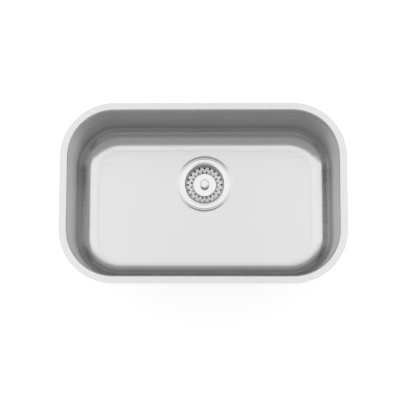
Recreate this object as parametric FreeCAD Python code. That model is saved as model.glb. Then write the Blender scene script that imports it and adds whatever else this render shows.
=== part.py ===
# Undermount kitchen sink: a pressed steel bowl with its basket strainer waste.
#
# Millimetres. +X runs along the bowl, +Y to its rear, +Z up. The origin is the middle of the
# bowl's opening, in the plane of the rim's top face, which is bonded under the worktop.
# Every bend radius is the one on the inside of the bend.

import FreeCAD, Part

import os
from math import atan2, cos, pi, sin, sqrt, tan

# ---------------------------------------------------------------- driving dimensions
# Bowl
sheet = 1.0                    # thickness of the bowl's steel
opening_length = 560.0         # along X
opening_width = 342.0          # along Y
opening_corner_radius = 96.0
rim_width = 16.0               # flat rim that lies under the worktop
rim_edge_break = 0.2
rim_bend_radius = 2.5          # from the rim into the wall
bowl_depth = 190.0             # worktop plane to the bowl's floor
wall_lean = 6.0                # how far each wall leans in, from rim to floor
floor_bend_radius = 45.0       # from the wall into the floor

# Drain recess in the bowl's floor
recess_to_bend = 11.3          # flat floor from the recess to the bend into the rear wall
recess_depth = 2.0
recess_margin = 1.5            # flat seat beyond the strainer's flange
recess_slope_run = 5.7         # width of the slope up to the floor, seen from above
recess_bend_radius = 6.0
drain_hole_clearance = 0.5     # round the strainer's thread

# Strainer body: flange and cup pressed from one sheet
strainer_sheet = 1.0
flange_radius = 55.5
flange_droop = 0.3             # the flange's edge lies lower than its crown
flange_droop_run = 1.2
flange_bend_radius = 2.0
cup_radius = 42.5              # inside
cup_depth = 46.0               # from the flange's crown to the cup's bottom, inside
mouth_slope_run = 6.5          # shallow slope from the flange's crown down to the cup's wall
mouth_slope_drop = 1.5
mouth_bend_radius = 0.6        # from the slope into the wall
crown_bend_radius = 10.0       # from the crown into the slope
cup_bottom_bend_radius = 8.0
strainer_thread_height = 1.0   # rolled thread round the cup
thread_below_nut = 6.0

# All threads, drawn as ribs
thread_pitch = 2.0
thread_crest_share = 0.2       # of the pitch
thread_clearance = 0.15        # crest to nut, radial

# Seals and nut that clamp the strainer body to the bowl
seal_thickness = 1.0
seal_edge_setback = 0.4        # from the flange's droop
seal_mouth_setback = 1.2       # from the mouth's slope
gasket_thickness = 3.0
gasket_width = 10.3
friction_ring_thickness = 1.0
lock_nut_height = 13.0
lock_nut_wall = 7.0
lock_nut_lugs = 8
lug_reach = 5.5
lug_width = 9.0
lug_edge_break = 1.0

# Outlet under the cup
spud_bore_radius = 18.2
spud_neck_wall = 2.2           # neck that passes through the cup's bottom
shoulder_reach = 6.6           # shoulder beyond the neck, brazed under the cup
shoulder_height = 2.0
spud_length = 18.0             # under the cup's bottom
spud_wall = 4.0                # to the root of its thread
spud_thread_height = 1.0
spud_thread_gap = 1.0          # from the shoulder to the thread
washer_thickness = 2.0
tail_radius = 19.05            # outside, a tube of 1 1/2 inch
tail_wall = 0.9
tail_length = 100.0
tail_flange_reach = 3.15
coupling_nut_gap = 3.0         # from the spud's shoulder to the nut
coupling_nut_wall = 4.65       # over the thread, at the middle of a flat
coupling_nut_sides = 8
coupling_nut_chamfer = 1.5
coupling_lip_thickness = 3.0
coupling_lip_clearance = 0.9   # round the tube

# Stem guide and detent clip in the spud
guide_drop = 1.3               # below the stem's nut when the stopper is shut
guide_ring_height = 5.0
guide_ring_wall = 1.3
guide_spokes = 4
guide_spoke_width = 2.2
guide_hub_wall = 2.65
guide_hub_height = 7.5
clip_wire_radius = 0.5
clip_stem_gap = 0.05
clip_opening = 50.0            # degrees

# Basket
basket_sheet = 0.7
basket_rim_drop = 1.8          # rim below the flange's crown
basket_rim_clearance = 0.4     # to the cup's wall
basket_lip_height = 2.4
basket_rim_width = 2.1
basket_rim_fall = 0.5          # the rim slopes down to the wall
basket_wall_height = 15.0      # from the rim's edge to the cone
basket_wall_lean = 0.4
basket_cone_width = 12.8       # seen from above
basket_cone_drop = 2.8
basket_step_rise = 2.4
basket_step_run = 1.1
basket_bend_radius = 0.8
basket_rim_bend_radius = 0.3   # the rim is rolled nearly half round
sieve_holes = 20               # in each of two rows
sieve_outer_row_margin = 2.6   # from the cone's edge to the middle of the row
sieve_inner_row_margin = 2.4
sieve_outer_hole_radius = 2.2
sieve_inner_hole_radius = 2.0

# Bush, stem, knob and stopper
stem_radius = 3.75
stem_clearance = 0.1
stem_waist_reach = 1.75
stem_collar_reach = 3.25
stem_collar_height = 2.5
stem_tip_below_guide = 4.0
stem_tip_chamfer = 0.8
detent_groove_depth = 0.6
detent_groove_width = 1.6
bush_wall = 2.15
bush_flange_width = 2.0
bush_flange_thickness = 1.2
bush_below_basket = 1.5
running_gap = 0.2              # along the stem, so that the basket turns on it
knob_radius = 9.3
knob_head_height = 7.2
knob_edge_radius = 1.5
knob_neck_reach = 2.25
knob_neck_height = 14.0
knob_cap_thickness = 5.5       # over the stem's end
stopper_travel = 8.0           # from open down to shut
stopper_seat_gap = 0.3
stopper_overlap = 4.5          # rubber beyond the spud's neck
stopper_thickness = 4.0
stopper_chamfer = 1.0
backing_plate_thickness = 1.2
top_plate_inset = 8.9          # plate's edge to the rubber's
bottom_plate_inset = 11.9
stem_nut_wall = 1.25           # over the stem, at the middle of a flat
stem_nut_chamfer = 0.4
stem_nut_height = 4.0

# Sound-deadening pads
floor_pad_thickness = 3.0
floor_pad_to_recess = 15.0
floor_pad_to_bend = 20.0       # to where the bend into the wall starts
wall_pad_thickness = 2.5
wall_pad_below_rim = 48.0
wall_pad_to_bend = 20.0
wall_pad_to_corner = 15.0
pad_corner_radius = 12.0

# Between pieces that do not move against each other
fit_clearance = 0.05           # sheet round a bush or a neck
ring_clearance = 0.2           # seals, washers and nuts round what passes through them

tolerance = 1e-4               # for picking edges by their place

# ---------------------------------------------------------------- places worked out from them
strainer_outer_radius = cup_radius + strainer_sheet
strainer_crest_radius = strainer_outer_radius + strainer_thread_height
drain_hole_radius = strainer_crest_radius + drain_hole_clearance
mouth_radius = cup_radius + mouth_slope_run
recess_seat_radius = flange_radius + recess_margin
recess_outer_radius = recess_seat_radius + recess_slope_run
rear_bend_y = opening_width / 2 - wall_lean - floor_bend_radius
drain_y = rear_bend_y - recess_to_bend - recess_outer_radius

floor_z = -bowl_depth
seat_z = floor_z - recess_depth                       # top of the recess's flat seat
seat_under_z = seat_z - sheet
flange_under_z = seat_z + seal_thickness
flange_top_z = flange_under_z + strainer_sheet
cup_floor_z = flange_top_z - cup_depth
cup_under_z = cup_floor_z - strainer_sheet
gasket_under_z = seat_under_z - gasket_thickness
lock_nut_top_z = gasket_under_z - friction_ring_thickness
lock_nut_under_z = lock_nut_top_z - lock_nut_height

spud_neck_radius = spud_bore_radius + spud_neck_wall
spud_shoulder_radius = spud_neck_radius + shoulder_reach
spud_root_radius = spud_bore_radius + spud_wall
spud_crest_radius = spud_root_radius + spud_thread_height
shoulder_under_z = cup_under_z - shoulder_height
spud_under_z = cup_under_z - spud_length
washer_under_z = spud_under_z - washer_thickness
tail_bore_radius = tail_radius - tail_wall
tail_flange_radius = tail_radius + tail_flange_reach
tail_flange_under_z = washer_under_z - tail_wall

stem_bore_radius = stem_radius + stem_clearance
bush_radius = stem_bore_radius + bush_wall
basket_radius = cup_radius - basket_rim_clearance
basket_wall_radius = basket_radius - basket_rim_width
cone_outer_radius = basket_wall_radius - basket_wall_lean
cone_inner_radius = cone_outer_radius - basket_cone_width
plateau_radius = cone_inner_radius - basket_step_run
outer_row_radius = cone_outer_radius - sieve_outer_row_margin
inner_row_radius = cone_inner_radius + sieve_inner_row_margin
basket_rim_z = flange_top_z - basket_rim_drop
cone_top_z = basket_rim_z - basket_wall_height
cone_low_z = cone_top_z - basket_cone_drop
plateau_z = cone_low_z + basket_step_rise
bush_top_z = plateau_z + bush_flange_thickness
bush_under_z = plateau_z - basket_sheet - bush_below_basket

collar_top_z = bush_under_z - running_gap
knob_under_z = bush_top_z + running_gap
knob_neck_top_z = knob_under_z + knob_neck_height
knob_top_z = knob_neck_top_z + knob_head_height
stem_top_z = knob_top_z - knob_cap_thickness
stopper_radius = spud_neck_radius + stopper_overlap
stopper_under_z = cup_floor_z + stopper_travel + stopper_seat_gap
stopper_top_z = stopper_under_z + stopper_thickness
bottom_plate_under_z = stopper_under_z - backing_plate_thickness
stem_nut_under_z = bottom_plate_under_z - stem_nut_height
guide_top_z = stem_nut_under_z - stopper_travel - guide_drop
guide_hub_under_z = guide_top_z - guide_hub_height
stem_tip_z = guide_hub_under_z - stem_tip_below_guide
clip_z = guide_top_z - guide_hub_height / 2
clip_ring_radius = stem_radius + clip_stem_gap + clip_wire_radius

drain_axis = FreeCAD.Vector(0, drain_y, 0)
up = FreeCAD.Vector(0, 0, 1)


# ---------------------------------------------------------------- round shapes on the drain's axis
def at_drain(point):
    """A point of the (radius, height) plane, placed beside the drain's axis."""
    return FreeCAD.Vector(point[0], drain_y, point[1])


def ring(inner, outer, low, high):
    """A flat ring or a tube; a disc where inner is 0."""
    base = drain_axis + up * low
    body = Part.makeCylinder(outer, high - low, base)
    if inner > 0:
        body = body.cut(Part.makeCylinder(inner, high - low, base))
    return body


def turned(body, angle):
    """A copy turned by an angle in degrees."""
    copy = body.copy()
    copy.rotate(drain_axis, up, angle)
    return copy


def unit(start, end):
    """The direction from one point to another, of length 1."""
    x, z = end[0] - start[0], end[1] - start[1]
    length = sqrt(x * x + z * z)
    return x / length, z / length


def turn(before, corner, after):
    """The angle that a path turns by at a corner; positive to the left."""
    (ax, az), (bx, bz) = unit(before, corner), unit(corner, after)
    return atan2(ax * bz - az * bx, ax * bx + az * bz)


def moved_path(corners, distance):
    """The same path moved to its right by a distance."""
    first, last = unit(*corners[:2]), unit(*corners[-2:])
    moved = [(corners[0][0] + first[1] * distance, corners[0][1] - first[0] * distance)]
    for before, corner, after in zip(corners, corners[1:], corners[2:]):
        (ax, az), (bx, bz) = unit(before, corner), unit(corner, after)
        shift = distance / (1 + ax * bx + az * bz)
        moved.append((corner[0] + (az + bz) * shift, corner[1] - (ax + bx) * shift))
    moved.append((corners[-1][0] + last[1] * distance, corners[-1][1] - last[0] * distance))
    return moved


def bent_path(corners, radii):
    """Edges of a path through corners, with each corner between its ends bent."""
    edges = []
    last = corners[0]
    for before, corner, after, radius in zip(corners, corners[1:], corners[2:], radii):
        (ax, az), (bx, bz) = unit(corner, before), unit(corner, after)
        half = (pi - abs(turn(before, corner, after))) / 2
        setback = radius / tan(half)
        inward = (radius / sin(half) - radius) / (2 * cos(half))
        start = (corner[0] + ax * setback, corner[1] + az * setback)
        middle = (corner[0] + (ax + bx) * inward, corner[1] + (az + bz) * inward)
        end = (corner[0] + bx * setback, corner[1] + bz * setback)
        edges.append(Part.LineSegment(at_drain(last), at_drain(start)).toShape())
        edges.append(Part.Arc(at_drain(start), at_drain(middle), at_drain(end)).toShape())
        last = end
    edges.append(Part.LineSegment(at_drain(last), at_drain(corners[-1])).toShape())
    return edges


def spun_sheet(corners, bend_radii, thickness):
    """Sheet metal of revolution: the path is one face, and the other lies to its right."""
    turns = [turn(*three) for three in zip(corners, corners[1:], corners[2:])]
    near = [r if angle > 0 else r + thickness for r, angle in zip(bend_radii, turns)]
    far = [r + thickness if angle > 0 else r for r, angle in zip(bend_radii, turns)]
    far_corners = moved_path(corners, thickness)
    edges = bent_path(corners, near) + bent_path(far_corners, far)
    for end in (0, -1):
        edges.append(Part.LineSegment(at_drain(corners[end]), at_drain(far_corners[end])).toShape())
    wire = Part.Wire(Part.__sortEdges__(edges))
    return Part.Face(wire).revolve(drain_axis, up, 360)


def spun_outline(points):
    """A solid of revolution from a closed outline of straight lines."""
    wire = Part.makePolygon([at_drain(p) for p in points + points[:1]])
    return Part.Face(wire).revolve(drain_axis, up, 360)


def thread_ribs(backing, root, crest, low, high):
    """Ribs that stand for a thread, on a ring of wall from backing to root."""
    rise = thread_pitch * (1 - thread_crest_share) / 2
    outline = [(backing, low)]
    count = int((high - low) / thread_pitch)
    for turn_number in range(count):
        start = low + turn_number * thread_pitch
        outline.append((root, start))
        outline.append((crest, start + rise))
        outline.append((crest, start + thread_pitch - rise))
    top = low + count * thread_pitch
    return spun_outline(outline + [(root, top), (backing, top)])


def nut_blank(sides, across_flats, chamfer, low, high):
    """A nut's outside, with the corners of its ends turned off."""
    corner = across_flats / 2 / cos(pi / sides)
    points = [FreeCAD.Vector(corner * cos(2 * pi * i / sides),
                             drain_y + corner * sin(2 * pi * i / sides), low)
              for i in range(sides)]
    prism = Part.Face(Part.makePolygon(points + points[:1])).extrude(up * (high - low))
    turned_blank = spun_outline([(0, low), (corner - chamfer, low), (corner, low + chamfer),
                                 (corner, high - chamfer), (corner - chamfer, high), (0, high)])
    return prism.common(turned_blank)


# ---------------------------------------------------------------- the bowl and its pads
def rounded_rectangle(length, width, radius, z):
    """A closed wire round the origin, in a level plane."""
    x, y = length / 2, width / 2
    diagonal = radius * (1 - sqrt(0.5))
    edges = []
    for sx, sy in ((1, 1), (-1, 1), (-1, -1), (1, -1)):
        across = FreeCAD.Vector(sx * x, sy * (y - radius), z)
        middle = FreeCAD.Vector(sx * (x - diagonal), sy * (y - diagonal), z)
        along = FreeCAD.Vector(sx * (x - radius), sy * y, z)
        edges.append(Part.Arc(across, middle, along).toShape())
    for side in (1, -1):
        edges.append(Part.LineSegment(FreeCAD.Vector(radius - x, side * y, z),
                                      FreeCAD.Vector(x - radius, side * y, z)).toShape())
        edges.append(Part.LineSegment(FreeCAD.Vector(side * x, radius - y, z),
                                      FreeCAD.Vector(side * x, y - radius, z)).toShape())
    return Part.Wire(Part.__sortEdges__(edges))


def tub(outward, downward):
    """The bowl's cavity as a solid, grown by these distances, with the bend round its floor."""
    low = floor_z - downward
    inward = wall_lean * -low / bowl_depth - outward
    top = rounded_rectangle(opening_length + 2 * outward, opening_width + 2 * outward,
                            opening_corner_radius + outward, 0)
    bottom = rounded_rectangle(opening_length - 2 * inward, opening_width - 2 * inward,
                               opening_corner_radius - inward, low)
    body = Part.makeLoft([top, bottom], True, True)
    around_floor = [e for e in body.Edges if abs(e.BoundBox.ZMax - low) < tolerance]
    return body.makeFillet(floor_bend_radius + downward, around_floor)


def level_edges(body, z, inside):
    """Edges of the outline at height z that runs round the opening, or of the rim's own edge."""
    reach = opening_length / 2 + rim_width / 2
    level = [e for e in body.Edges if abs(e.BoundBox.ZMin - z) < tolerance
             and abs(e.BoundBox.ZMax - z) < tolerance]
    at_rim_edge = [e for e in level if max(abs(v.X) for v in e.Vertexes) > reach
                   or max(abs(v.Y) for v in e.Vertexes) > opening_width / 2 + rim_width / 2]
    if inside:
        return [e for e in level if not any(e.isSame(other) for other in at_rim_edge)]
    return at_rim_edge


def bowl():
    rim = Part.Face(rounded_rectangle(opening_length + 2 * rim_width, opening_width + 2 * rim_width,
                                      opening_corner_radius + rim_width, 0)).extrude(up * -sheet)
    body = tub(sheet, sheet).fuse(rim).cut(tub(0, 0)).removeSplitter()
    body = body.makeFillet(rim_bend_radius + sheet, level_edges(body, 0, True))
    body = body.makeFillet(rim_bend_radius, level_edges(body, -sheet, True))
    rim_edges = level_edges(body, 0, False) + level_edges(body, -sheet, False)
    body = body.makeFillet(rim_edge_break, rim_edges)
    step_reach = recess_outer_radius + recess_bend_radius + sheet
    step = spun_sheet([(drain_hole_radius, seat_z), (recess_seat_radius, seat_z),
                       (recess_outer_radius, floor_z), (step_reach, floor_z)],
                      [recess_bend_radius, recess_bend_radius], sheet)
    body = body.cut(ring(0, step_reach, floor_z - sheet, floor_z))
    return body.fuse(step).removeSplitter()


def pad_block(length, width, height, centre, axis):
    """A block with the four edges along axis rounded."""
    corner = centre - FreeCAD.Vector(length, width, height) * 0.5
    body = Part.makeBox(length, width, height, corner)
    along = [e for e in body.Edges if abs(e.tangentAt(e.FirstParameter).dot(axis)) > 1 - tolerance]
    return body.makeFillet(pad_corner_radius, along)


def floor_pad(side):
    near = recess_outer_radius + floor_pad_to_recess
    far = opening_length / 2 - wall_lean - floor_bend_radius - floor_pad_to_bend
    width = opening_width - 2 * (wall_lean + floor_bend_radius + floor_pad_to_bend)
    centre = FreeCAD.Vector(side * (near + far) / 2, 0, floor_z - sheet - floor_pad_thickness / 2)
    return pad_block(far - near, width, floor_pad_thickness, centre, up)


def wall_pads():
    """Pads that follow the outside of the four walls, by name."""
    skin = tub(sheet + wall_pad_thickness, sheet).cut(tub(sheet, sheet))
    top = -wall_pad_below_rim
    low = floor_z + floor_bend_radius + wall_pad_to_bend
    middle = up * ((top + low) / 2)
    zone = 2 * (wall_lean + sheet + wall_pad_thickness)   # holds the skin, across a wall
    corners = 2 * (opening_corner_radius + wall_pad_to_corner)
    pads = {}
    for name, side in (("left", -1), ("right", 1)):
        axis = FreeCAD.Vector(1, 0, 0)
        block = pad_block(zone, opening_width - corners, top - low,
                          middle + axis * (side * opening_length / 2), axis)
        pads["wall_pad_" + name] = skin.common(block)
    for name, side in (("front", -1), ("rear", 1)):
        axis = FreeCAD.Vector(0, 1, 0)
        block = pad_block(opening_length - corners, zone, top - low,
                          middle + axis * (side * opening_width / 2), axis)
        pads["wall_pad_" + name] = skin.common(block)
    return pads


# ---------------------------------------------------------------- the strainer waste
def strainer_body():
    path = [(spud_neck_radius + fit_clearance, cup_floor_z), (cup_radius, cup_floor_z),
            (cup_radius, flange_top_z - mouth_slope_drop), (mouth_radius, flange_top_z),
            (flange_radius - flange_droop_run, flange_top_z),
            (flange_radius, flange_top_z - flange_droop)]
    bends = [cup_bottom_bend_radius, mouth_bend_radius, crown_bend_radius, flange_bend_radius]
    cup = spun_sheet(path, bends, strainer_sheet)
    thread = thread_ribs(strainer_outer_radius - strainer_sheet / 2, strainer_outer_radius,
                         strainer_crest_radius, lock_nut_under_z - thread_below_nut,
                         gasket_under_z)
    return cup.fuse(thread)


def flange_seal():
    outer = flange_radius - flange_droop_run - seal_edge_setback
    return ring(mouth_radius + seal_mouth_setback, outer, seat_z, flange_under_z)


def gasket_ring(low, high):
    inner = strainer_crest_radius + ring_clearance
    return ring(inner, inner + gasket_width, low, high)


def lock_nut():
    bore = strainer_crest_radius + thread_clearance
    wall = bore + lock_nut_wall
    body = ring(bore, wall, lock_nut_under_z, lock_nut_top_z)
    lug_start = bore + lock_nut_wall / 2
    corner = FreeCAD.Vector(lug_start, drain_y - lug_width / 2, lock_nut_under_z)
    lug = Part.makeBox(wall + lug_reach - lug_start, lug_width, lock_nut_height, corner)
    outer_edges = [e for e in lug.Edges if abs(e.BoundBox.XMin - wall - lug_reach) < tolerance]
    lug = lug.makeFillet(lug_edge_break, outer_edges)
    for i in range(lock_nut_lugs):
        body = body.fuse(turned(lug, 360 * i / lock_nut_lugs))
    return body.removeSplitter()


def outlet_spud():
    body = ring(spud_bore_radius, spud_neck_radius, cup_under_z, cup_floor_z)
    body = body.fuse(ring(spud_bore_radius, spud_shoulder_radius, shoulder_under_z, cup_under_z))
    body = body.fuse(ring(spud_bore_radius, spud_root_radius, spud_under_z, shoulder_under_z))
    thread = thread_ribs(spud_root_radius - spud_wall / 2, spud_root_radius, spud_crest_radius,
                         spud_under_z, shoulder_under_z - spud_thread_gap)
    return body.fuse(thread).removeSplitter()


def stem_guide():
    ring_low = guide_top_z - guide_ring_height
    ring_inner = spud_bore_radius - guide_ring_wall
    hub_radius = stem_bore_radius + guide_hub_wall
    body = ring(ring_inner, spud_bore_radius, ring_low, guide_top_z)
    corner = FreeCAD.Vector(0, drain_y - guide_spoke_width / 2, ring_low)
    spoke = Part.makeBox(ring_inner + guide_ring_wall / 2, guide_spoke_width,
                         guide_ring_height, corner)
    for i in range(guide_spokes):
        body = body.fuse(turned(spoke, 360 * (i + 0.5) / guide_spokes))
    body = body.fuse(ring(0, hub_radius, guide_hub_under_z, guide_top_z))
    body = body.cut(ring(0, stem_bore_radius, guide_hub_under_z, guide_top_z))
    groove = ring(0, clip_ring_radius + clip_wire_radius, clip_z - clip_wire_radius,
                  clip_z + clip_wire_radius)
    return body.cut(groove).removeSplitter()


def detent_clip():
    """An open wire ring, drawn sprung open round the stem, with its opening to the rear."""
    wire = Part.makeTorus(clip_ring_radius, clip_wire_radius, drain_axis + up * clip_z, up,
                          -180, 180, 360 - clip_opening)
    return turned(wire, 90 + clip_opening / 2)


def tailpiece():
    flange = ring(tail_bore_radius, tail_flange_radius, tail_flange_under_z, washer_under_z)
    tube = ring(tail_bore_radius, tail_radius, washer_under_z - tail_length, washer_under_z)
    return flange.fuse(tube).removeSplitter()


def coupling_nut():
    low = tail_flange_under_z - coupling_lip_thickness
    high = shoulder_under_z - coupling_nut_gap
    bore = spud_crest_radius + thread_clearance
    body = nut_blank(coupling_nut_sides, 2 * (bore + coupling_nut_wall), coupling_nut_chamfer,
                     low, high)
    body = body.cut(ring(0, bore, tail_flange_under_z, high))
    lip_bore = tail_radius + coupling_lip_clearance
    return body.cut(ring(0, lip_bore, low, tail_flange_under_z))


# ---------------------------------------------------------------- the basket, stem and stopper
def sieve_hole(radius, row_radius, angle):
    """A drill through the basket's cone, square to it."""
    slope = atan2(basket_cone_drop, basket_cone_width)
    row_z = cone_low_z + (row_radius - cone_inner_radius) * tan(slope)
    along = FreeCAD.Vector(-sin(slope), 0, cos(slope))
    reach = 2 * basket_sheet
    start = at_drain((row_radius, row_z)) - along * reach
    return turned(Part.makeCylinder(radius, 2 * reach, start, along), angle)


def basket_shell():
    path = [(bush_radius + fit_clearance, plateau_z), (plateau_radius, plateau_z),
            (cone_inner_radius, cone_low_z), (cone_outer_radius, cone_top_z),
            (basket_wall_radius, basket_rim_z - basket_rim_fall), (basket_radius, basket_rim_z),
            (basket_radius, basket_rim_z - basket_lip_height)]
    bends = [basket_bend_radius] * 3 + [basket_rim_bend_radius] * 2
    body = spun_sheet(path, bends, basket_sheet)
    step = 360 / sieve_holes
    for i in range(sieve_holes):
        body = body.cut(sieve_hole(sieve_outer_hole_radius, outer_row_radius, i * step))
        body = body.cut(sieve_hole(sieve_inner_hole_radius, inner_row_radius, (i + 0.5) * step))
    return body


def basket_bush():
    body = ring(stem_bore_radius, bush_radius, bush_under_z, bush_top_z)
    flange = ring(stem_bore_radius, bush_radius + bush_flange_width, plateau_z, bush_top_z)
    return body.fuse(flange).removeSplitter()


def stem():
    body = ring(0, stem_radius, stem_tip_z, stem_top_z)
    tip = [e for e in body.Edges if abs(e.BoundBox.ZMax - stem_tip_z) < tolerance]
    body = body.makeChamfer(stem_tip_chamfer, tip)
    body = body.fuse(ring(0, stem_radius + stem_collar_reach,
                          collar_top_z - stem_collar_height, collar_top_z))
    body = body.fuse(ring(0, stem_radius + stem_waist_reach,
                          stopper_top_z + backing_plate_thickness, collar_top_z))
    for z in (clip_z, clip_z + stopper_travel):
        groove = ring(stem_radius - detent_groove_depth, stem_radius + stem_clearance,
                      z - detent_groove_width / 2, z + detent_groove_width / 2)
        body = body.cut(groove)
    return body.removeSplitter()


def knob():
    head = ring(0, knob_radius, knob_neck_top_z, knob_top_z)
    edge = [e for e in head.Edges if abs(e.BoundBox.ZMin - knob_top_z) < tolerance]
    head = head.makeFillet(knob_edge_radius, edge)
    body = head.fuse(ring(0, stem_radius + knob_neck_reach, knob_under_z, knob_neck_top_z))
    return body.cut(ring(0, stem_radius, knob_under_z, stem_top_z)).removeSplitter()


def backing_plate(inset, low):
    return ring(stem_radius, stopper_radius - inset, low, low + backing_plate_thickness)


def stopper_disc():
    body = ring(stem_radius, stopper_radius, stopper_under_z, stopper_top_z)
    edge = [e for e in body.Edges if abs(e.BoundBox.ZMax - stopper_under_z) < tolerance
            and e.BoundBox.XMax > stopper_radius - tolerance]
    return body.makeChamfer(stopper_chamfer, edge)


def stem_nut():
    blank = nut_blank(6, 2 * (stem_radius + stem_nut_wall), stem_nut_chamfer, stem_nut_under_z,
                      bottom_plate_under_z)
    return blank.cut(ring(0, stem_radius, stem_nut_under_z, bottom_plate_under_z))


# ---------------------------------------------------------------- all the pieces, by name
pieces = {
    "bowl": bowl(),
    "floor_pad_left": floor_pad(-1),
    "floor_pad_right": floor_pad(1),
    "strainer_body": strainer_body(),
    "flange_seal": flange_seal(),
    "sink_gasket": gasket_ring(gasket_under_z, seat_under_z),
    "friction_ring": gasket_ring(lock_nut_top_z, gasket_under_z),
    "lock_nut": lock_nut(),
    "outlet_spud": outlet_spud(),
    "stem_guide": stem_guide(),
    "detent_clip": detent_clip(),
    "tailpiece_washer": ring(spud_bore_radius, tail_flange_radius, washer_under_z, spud_under_z),
    "tailpiece": tailpiece(),
    "coupling_nut": coupling_nut(),
    "basket_shell": basket_shell(),
    "basket_bush": basket_bush(),
    "stem": stem(),
    "knob": knob(),
    "stopper_top_plate": backing_plate(top_plate_inset, stopper_top_z),
    "stopper_disc": stopper_disc(),
    "stopper_bottom_plate": backing_plate(bottom_plate_inset, bottom_plate_under_z),
    "stem_nut": stem_nut(),
}
pieces.update(wall_pads())

os.makedirs("parts", exist_ok=True)
for name, shape in pieces.items():
    print(f"{name:22s} solids {len(shape.Solids)}, valid {shape.isValid()}, {shape.Volume:.0f} mm3")
    shape.exportStep(f"parts/{name}.step")
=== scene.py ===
import math

import bpy
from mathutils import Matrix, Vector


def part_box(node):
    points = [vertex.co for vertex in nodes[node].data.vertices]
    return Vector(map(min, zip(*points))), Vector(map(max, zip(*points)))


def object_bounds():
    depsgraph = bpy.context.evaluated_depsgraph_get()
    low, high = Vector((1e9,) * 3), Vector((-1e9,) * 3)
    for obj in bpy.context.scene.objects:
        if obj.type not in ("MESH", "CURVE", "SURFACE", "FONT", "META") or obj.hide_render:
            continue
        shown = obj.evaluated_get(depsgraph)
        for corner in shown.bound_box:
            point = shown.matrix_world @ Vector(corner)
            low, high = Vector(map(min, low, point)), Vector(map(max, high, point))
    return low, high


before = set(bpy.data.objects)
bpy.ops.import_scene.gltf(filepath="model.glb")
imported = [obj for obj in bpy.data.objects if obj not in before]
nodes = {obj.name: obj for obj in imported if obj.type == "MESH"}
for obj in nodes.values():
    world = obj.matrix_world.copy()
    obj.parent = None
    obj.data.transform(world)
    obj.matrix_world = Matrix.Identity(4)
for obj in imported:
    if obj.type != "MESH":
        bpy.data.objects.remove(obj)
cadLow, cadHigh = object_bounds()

drainY = sum(corner[1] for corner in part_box("tailpiece")) / 2   # the strainer stands on this line
print("frame loaded:", len(nodes), "nodes")


# the camera looks down from above the bowl, a little to its front and right
cameraPlace = {
    "place": (0.0399, -0.3753, 2.600),
    "turn": (7.863, 1.007, 0.113),       # degrees about X, Y and Z from straight down
    "lens": 115.13,                      # mm
    "sensor": 36.0,                      # mm across
}


def addCamera(look):
    data = bpy.data.cameras.new("camera")
    data.lens = look["lens"]
    data.sensor_width = look["sensor"]
    camera = bpy.data.objects.new("camera", data)
    camera.location = look["place"]
    camera.rotation_euler = [math.radians(angle) for angle in look["turn"]]
    bpy.context.collection.objects.link(camera)
    bpy.context.scene.camera = camera


addCamera(cameraPlace)
bpy.context.scene.view_settings.view_transform = "Standard"
print("camera set")


# small helpers that all the finishes share
noiseSpan = (0.3, 0.7)                   # nearly all of a noise lies between these
numberSockets = (0, 2, 3)                # a Mix node's share, first and second, for numbers
colourSockets = (0, 6, 7)                # and for colours
mixedColour = 2                          # where the mixed colour comes out


def addNode(tree, kind, values=None, **settings):
    node = tree.nodes.new(kind)
    for name, value in settings.items():
        setattr(node, name, value)
    for socket, value in (values or {}).items():
        node.inputs[socket].default_value = value
    return node


def feed(tree, socket, value):
    if isinstance(value, (int, float, tuple)):
        socket.default_value = value
    else:
        tree.links.new(value, socket)


def mathNode(tree, operation, *values):
    node = addNode(tree, "ShaderNodeMath", operation=operation)
    for socket, value in zip(node.inputs, values):
        feed(tree, socket, value)
    return node.outputs[0]


def rangeNode(tree, value, low, high, newLow, newHigh, smooth=False):
    node = addNode(tree, "ShaderNodeMapRange",
                   {"From Min": low, "From Max": high, "To Min": newLow, "To Max": newHigh},
                   interpolation_type="SMOOTHSTEP" if smooth else "LINEAR")
    tree.links.new(value, node.inputs["Value"])
    return node.outputs["Result"]


def mixNumbers(tree, share, first, second):
    node = addNode(tree, "ShaderNodeMix", data_type="FLOAT")
    for index, value in zip(numberSockets, (share, first, second)):
        feed(tree, node.inputs[index], value)
    return node.outputs[0]


def mixColours(tree, share, first, second, blend="MIX"):
    node = addNode(tree, "ShaderNodeMix", data_type="RGBA", blend_type=blend)
    for index, value in zip(colourSockets, (share, first, second)):
        feed(tree, node.inputs[index], value)
    return node.outputs[mixedColour]


def tintNode(tree, share, dark, light):
    return mixColours(tree, share, (*dark, 1), (*light, 1))


def splitNode(tree, vector):
    node = addNode(tree, "ShaderNodeSeparateXYZ")
    tree.links.new(vector, node.inputs[0])
    return node.outputs


def joinNode(tree, *parts):
    node = addNode(tree, "ShaderNodeCombineXYZ")
    for socket, part in zip(node.inputs, parts):
        feed(tree, socket, part)
    return node.outputs[0]


def noiseNode(tree, place, scale, detail):
    mapping = addNode(tree, "ShaderNodeMapping", {"Scale": scale})
    tree.links.new(place, mapping.inputs["Vector"])
    noise = addNode(tree, "ShaderNodeTexNoise", {"Scale": 1.0, "Detail": detail})
    tree.links.new(mapping.outputs[0], noise.inputs["Vector"])
    return noise.outputs["Fac"]


def bumpNode(tree, height, distance, normal=None):
    node = addNode(tree, "ShaderNodeBump", {"Strength": 1.0, "Distance": distance})
    tree.links.new(height, node.inputs["Height"])
    if normal is not None:
        tree.links.new(normal, node.inputs["Normal"])
    return node.outputs["Normal"]


def startMaterial(name, colour, metallic, roughness):
    material = bpy.data.materials.new(name)
    material.use_nodes = True
    tree = material.node_tree
    shader = tree.nodes["Principled BSDF"]
    shader.inputs["Base Color"].default_value = (*colour, 1)
    shader.inputs["Metallic"].default_value = metallic
    shader.inputs["Roughness"].default_value = roughness
    place = tree.nodes.new("ShaderNodeTexCoord")
    return material, tree, shader, place


def dress(nodeNames, material):
    for name in nodeNames:
        node = nodes[name]
        node.data.materials.clear()
        node.data.materials.append(material)


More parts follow.
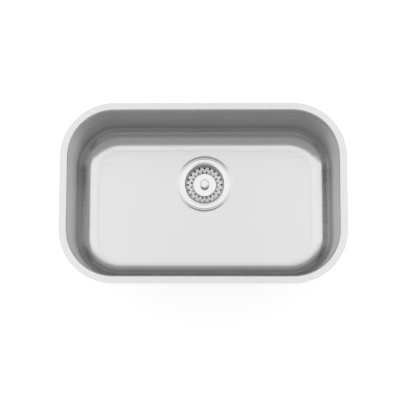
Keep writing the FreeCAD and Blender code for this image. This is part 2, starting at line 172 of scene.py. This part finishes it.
# satin steel of the bowl: brushed along X on the floor and rim, and level round the walls
bowlSteel = {
    "dark": (0.488, 0.488, 0.485),
    "light": (0.530, 0.530, 0.526),
    "gloss": 0.20,               # roughness of the floor inside
    "wallGloss": 0.40,
    "glossSpread": 0.04,
    "brushed": 0.40,             # how much wider the shine is across the grain than along it
    "outsideGloss": 0.52,        # the outside keeps the dull face of the rolled sheet
    "outsideShade": 0.80,
    "wallNormal": (0.25, 0.85),  # all wall where the normal rises by less, all floor by more
    "upwardInside": 0.15,        # so that a level face that looks up counts as inside
    "insideEdge": 0.02,          # half of the change from outside to inside
    "grain": 2400.0,             # scratches per metre
    "grainRun": 12.0,            # and how often one changes along its run
    "grainBump": 0.0000015,
    "streak": 240.0,             # brushed streaks that the eye can see
    "streakRun": 3.0,
    "stripe": 190.0,             # darker and lighter stripes round the walls, left by polishing, on a wall colour lifted by painted light
    "stripeRun": 0.9,
    # painted light: besides the stripes, this lifts the inner walls' colour well above the floor's,
    # so the walls render lighter
    "stripesAndPaintedLight": (1.04, 1.54),
    "band": 48.0,                # shallow bands round the walls, left from drawing
    "bandRun": 1.6,
    "bandBump": 0.00003,
    "ripple": 9.0,               # and the slight unevenness of the sheet
    "rippleBump": 0.00025,
}


def makeBowlSteel(look):
    material, tree, shader, place = startMaterial("bowlSteel", look["light"], 1.0, look["gloss"])
    spot = place.outputs["Object"]
    here = splitNode(tree, spot)
    facing = splitNode(tree, place.outputs["Normal"])
    steep = mathNode(tree, "ABSOLUTE", facing["Z"])
    onWall = rangeNode(tree, steep, *look["wallNormal"], 1.0, 0.0, smooth=True)
    outward = mathNode(tree, "MULTIPLY_ADD", facing["X"], here["X"],
                       mathNode(tree, "MULTIPLY", facing["Y"], here["Y"]))
    upward = mathNode(tree, "MULTIPLY", facing["Z"], look["upwardInside"])
    inward = mathNode(tree, "SUBTRACT", upward, outward)
    edge = look["insideEdge"]
    inside = rangeNode(tree, inward, -edge, edge, 0.0, 1.0, smooth=True)

    def brushed(fine, run, detail):
        onFloor = noiseNode(tree, spot, (run, fine, run), detail)
        roundWall = noiseNode(tree, spot, (run, run, fine), detail)
        return mixNumbers(tree, onWall, onFloor, roundWall)

    grain = brushed(look["grain"], look["grainRun"], detail=2.0)
    streak = brushed(look["streak"], look["streakRun"], detail=4.0)
    band = noiseNode(tree, spot, (look["bandRun"], look["bandRun"], look["band"]), detail=2.0)
    ripple = noiseNode(tree, spot, (look["ripple"],) * 3, detail=1.0)

    stripe = noiseNode(tree, spot, (look["stripeRun"], look["stripeRun"], look["stripe"]),
                       detail=2.0)
    # painted light: the inner walls get a lighter colour than the floor, as well as their stripes
    wallStripesAndLight = rangeNode(tree, stripe, *noiseSpan, *look["stripesAndPaintedLight"])
    onInnerWall = mathNode(tree, "MULTIPLY", onWall, inside)
    wallStripesAndLight = mixNumbers(tree, onInnerWall, 1.0, wallStripesAndLight)
    shade = mixNumbers(tree, inside, look["outsideShade"], wallStripesAndLight)
    tint = tintNode(tree, streak, look["dark"], look["light"])
    tree.links.new(mixColours(tree, 1.0, tint, shade, blend="MULTIPLY"),
                   shader.inputs["Base Color"])

    spread = rangeNode(tree, streak, *noiseSpan, -look["glossSpread"], look["glossSpread"])
    insideGloss = mixNumbers(tree, onWall, look["gloss"], look["wallGloss"])
    insideGloss = mathNode(tree, "ADD", insideGloss, spread)
    tree.links.new(mixNumbers(tree, inside, look["outsideGloss"], insideGloss),
                   shader.inputs["Roughness"])

    # the shine is wide across the grain: front to back on the floor, up and down on the walls;
    # its sign follows the face, so that it runs straight up the bends at the front and rear
    shader.inputs["Anisotropic"].default_value = look["brushed"]
    forward = mathNode(tree, "MULTIPLY_ADD",
                       mathNode(tree, "GREATER_THAN", facing["Y"], 0.0), -2.0, 1.0)
    level = mathNode(tree, "SUBTRACT", 1.0, onWall)
    across = joinNode(tree, 0.0, mathNode(tree, "MULTIPLY", forward, level), onWall)
    tree.links.new(across, shader.inputs["Tangent"])

    bands = mathNode(tree, "MULTIPLY", band, onWall)
    rolled = bumpNode(tree, bands, look["bandBump"])
    rippled = bumpNode(tree, ripple, look["rippleBump"], rolled)
    tree.links.new(bumpNode(tree, grain, look["grainBump"], rippled), shader.inputs["Normal"])
    return material


dress(["bowl"], makeBowlSteel(bowlSteel))
print("bowl finished")


# polished steel turned on a lathe, for what stands on the drain's line
turnedSteels = {
    "strainerSteel": {
        "nodes": ["strainer_body"],
        "dark": (0.54, 0.54, 0.535), "light": (0.58, 0.58, 0.575),
        "gloss": (0.15, 0.21), "ring": 1100.0, "bump": 0.000002,
    },
    "basketSteel": {
        "nodes": ["basket_shell"],
        "dark": (0.55, 0.55, 0.545), "light": (0.60, 0.60, 0.595),
        "gloss": (0.09, 0.15), "ring": 1400.0, "bump": 0.0000015,
        "matt": 0.32,                    # the pierced zone is left duller than the middle
        "mattFrom": 0.0262, "mattEdge": 0.001,
    },
    "knobSteel": {
        "nodes": ["knob"],
        "dark": (0.53, 0.53, 0.525), "light": (0.58, 0.58, 0.575),
        "gloss": (0.10, 0.16), "ring": 2600.0, "bump": 0.000001,
    },
    "stemSteel": {
        "nodes": ["stem", "stopper_top_plate", "stopper_bottom_plate", "stem_nut"],
        "dark": (0.50, 0.50, 0.495), "light": (0.60, 0.60, 0.60),
        "gloss": (0.20, 0.32), "ring": 2600.0, "bump": 0.000004,
    },
    "clipSteel": {
        "nodes": ["detent_clip"],
        "dark": (0.40, 0.40, 0.41), "light": (0.50, 0.50, 0.51),
        "gloss": (0.20, 0.35), "ring": 4000.0, "bump": 0.000002,
    },
    "tailChrome": {
        "nodes": ["tailpiece"],
        "dark": (0.50, 0.50, 0.51), "light": (0.58, 0.58, 0.59),
        "gloss": (0.05, 0.11), "ring": 700.0, "bump": 0.000001,
    },
    "castBrass": {
        "nodes": ["lock_nut", "outlet_spud", "coupling_nut"],
        "dark": (0.50, 0.37, 0.17), "light": (0.72, 0.56, 0.28),
        "gloss": (0.22, 0.42), "ring": 1500.0, "bump": 0.000008,
    },
}
turnedCloud = 60.0                       # soft clouds of colour per metre


def makeTurnedSteel(name, look):
    material, tree, shader, place = startMaterial(name, look["light"], 1.0, look["gloss"][0])
    centred = addNode(tree, "ShaderNodeMapping", {"Location": (0, -drainY, 0)})
    tree.links.new(place.outputs["Object"], centred.inputs["Vector"])
    here = splitNode(tree, centred.outputs[0])
    radius = addNode(tree, "ShaderNodeVectorMath", operation="LENGTH")
    tree.links.new(joinNode(tree, here["X"], here["Y"], 0.0), radius.inputs[0])
    lathe = joinNode(tree, radius.outputs["Value"], 0.0, here["Z"])   # rings, and lines round walls
    rings = noiseNode(tree, lathe, (look["ring"], 1, look["ring"]), detail=2.0)
    cloud = noiseNode(tree, place.outputs["Object"], (turnedCloud,) * 3, detail=3.0)
    half = 0.5                                       # rings and clouds count alike
    shade = mathNode(tree, "MULTIPLY_ADD", rings, half, mathNode(tree, "MULTIPLY", cloud, half))
    tree.links.new(tintNode(tree, shade, look["dark"], look["light"]), shader.inputs["Base Color"])
    gloss = rangeNode(tree, shade, *noiseSpan, *look["gloss"])
    if "matt" in look:
        start, end = look["mattFrom"], look["mattFrom"] + look["mattEdge"]
        matt = rangeNode(tree, radius.outputs["Value"], start, end, 0.0, look["matt"])
        gloss = mathNode(tree, "ADD", gloss, matt)
    tree.links.new(gloss, shader.inputs["Roughness"])
    tree.links.new(bumpNode(tree, rings, look["bump"]), shader.inputs["Normal"])
    return material


for name, look in turnedSteels.items():
    dress(look["nodes"], makeTurnedSteel(name, look))
print("turned pieces finished")


# rubber, fibre, nylon and the sound-deadening pads
mouldings = {
    "blackRubber": {
        "nodes": ["stopper_disc", "sink_gasket", "tailpiece_washer"],
        "dark": (0.018, 0.018, 0.019), "light": (0.035, 0.035, 0.036),
        "gloss": (0.55, 0.75), "speck": 2200.0, "bump": 0.00002,
    },
    "greySeal": {
        "nodes": ["flange_seal"],
        "dark": (0.30, 0.30, 0.29), "light": (0.40, 0.40, 0.39),
        "gloss": (0.7, 0.9), "speck": 1500.0, "bump": 0.00005,
    },
    "fibreBoard": {
        "nodes": ["friction_ring"],
        "dark": (0.42, 0.31, 0.19), "light": (0.60, 0.47, 0.31),
        "gloss": (0.75, 0.95), "speck": 900.0, "bump": 0.00005,
    },
    "whiteNylon": {
        "nodes": ["stem_guide", "basket_bush"],
        "dark": (0.74, 0.73, 0.69), "light": (0.83, 0.82, 0.79),
        "gloss": (0.35, 0.5), "speck": 700.0, "bump": 0.00001,
    },
    "dampingPad": {
        "nodes": ["floor_pad_left", "floor_pad_right", "wall_pad_left", "wall_pad_right",
                  "wall_pad_front", "wall_pad_rear"],
        "dark": (0.035, 0.036, 0.038), "light": (0.075, 0.076, 0.079),
        "gloss": (0.6, 0.85), "speck": 1200.0, "bump": 0.00008,
    },
}
mouldedCloud = 25.0                      # soft clouds of colour per metre


def makeMoulding(name, look):
    material, tree, shader, place = startMaterial(name, look["light"], 0.0, look["gloss"][0])
    speck = noiseNode(tree, place.outputs["Object"], (look["speck"],) * 3, detail=3.0)
    cloud = noiseNode(tree, place.outputs["Object"], (mouldedCloud,) * 3, detail=4.0)
    tree.links.new(tintNode(tree, cloud, look["dark"], look["light"]), shader.inputs["Base Color"])
    gloss = rangeNode(tree, speck, *noiseSpan, *look["gloss"])
    tree.links.new(gloss, shader.inputs["Roughness"])
    tree.links.new(bumpNode(tree, speck, look["bump"]), shader.inputs["Normal"])
    return material


for name, look in mouldings.items():
    dress(look["nodes"], makeMoulding(name, look))
print("moulded pieces finished")


# a pale floor that turns up into a backdrop, a soft room and four lamps overhead
studio = {
    "floorRadius": 6.0,
    "floorSides": 96,
    "bendWidth": 0.5,
    "bendShare": 0.4,                    # the bend's first face rises by this share of its width
    "wallHeight": 1.2,
    "colour": (0.35, 0.35, 0.35),        # lit by the lamps and the room, so the shadow shows
    "glow": 0.78,                        # added where the camera and reflections see it
    "room": (0.55, 0.55, 0.55),
}
lamps = {
    "leftBox": {"place": (-4.60, 0.25, 3.0), "size": (8.4, 2.0), "radiance": 1.07},
    "middleBox": {"place": (0.0, 0.25, 3.0), "size": (0.8, 2.0), "radiance": 0.97},
    "rightBox": {"place": (2.00, 0.25, 3.0), "size": (3.2, 2.0), "radiance": 1.07},
    "rearBox": {"place": (-2.60, 1.90, 3.0), "size": (12.4, 1.3), "radiance": 0.82},
}


def paleBackdrop(name, look):
    material, tree, shader = startMaterial(name, look["colour"], 0.0, 1.0)[:3]
    shader.inputs["Specular IOR Level"].default_value = 0.0
    shader.inputs["Emission Color"].default_value = (1, 1, 1, 1)
    ray = addNode(tree, "ShaderNodeLightPath")
    seen = mathNode(tree, "MAXIMUM", ray.outputs["Is Camera Ray"], ray.outputs["Is Glossy Ray"])
    seen = mathNode(tree, "MAXIMUM", seen, ray.outputs["Is Transmission Ray"])
    tree.links.new(mathNode(tree, "MULTIPLY", seen, look["glow"]),
                   shader.inputs["Emission Strength"])
    return material


def addStage(look):
    bpy.ops.object.select_all(action="DESELECT")
    bpy.ops.mesh.primitive_circle_add(vertices=look["floorSides"], radius=look["floorRadius"],
                                      fill_type="NGON", location=(0, 0, cadLow.z))
    floor = bpy.context.object
    floor.name = "floor"
    bpy.ops.object.mode_set(mode="EDIT")
    bpy.ops.mesh.select_mode(type="EDGE")
    bpy.ops.mesh.select_all(action="SELECT")
    bpy.ops.mesh.region_to_loop()                    # only the border goes up, so no lid closes it
    wide = look["bendWidth"]
    narrow = wide * look["bendShare"]
    for outward, upward in ((wide, narrow), (narrow, wide), (0, look["wallHeight"])):
        bpy.ops.mesh.extrude_edges_move(TRANSFORM_OT_translate={"value": (0, 0, upward)})
        grow = 1 + outward / look["floorRadius"]
        bpy.ops.transform.resize(value=(grow, grow, 1), center_override=(0, 0, 0))
    bpy.ops.object.mode_set(mode="OBJECT")
    floor.data.materials.append(paleBackdrop("paleBackdrop", look))


def addLamp(name, look):
    data = bpy.data.lights.new(name, "AREA")
    data.shape = "RECTANGLE"
    data.size, data.size_y = look["size"]
    data.energy = look["radiance"] * math.pi * data.size * data.size_y
    lamp = bpy.data.objects.new(name, data)
    lamp.location = look["place"]                    # it faces straight down
    bpy.context.collection.objects.link(lamp)


def addRoom(look):
    world = bpy.data.worlds.new("room")
    world.use_nodes = True
    world.node_tree.nodes["Background"].inputs["Color"].default_value = (*look["room"], 1)
    bpy.context.scene.world = world


addStage(studio)
for name, look in lamps.items():
    addLamp(name, look)
addRoom(studio)
print("studio set")
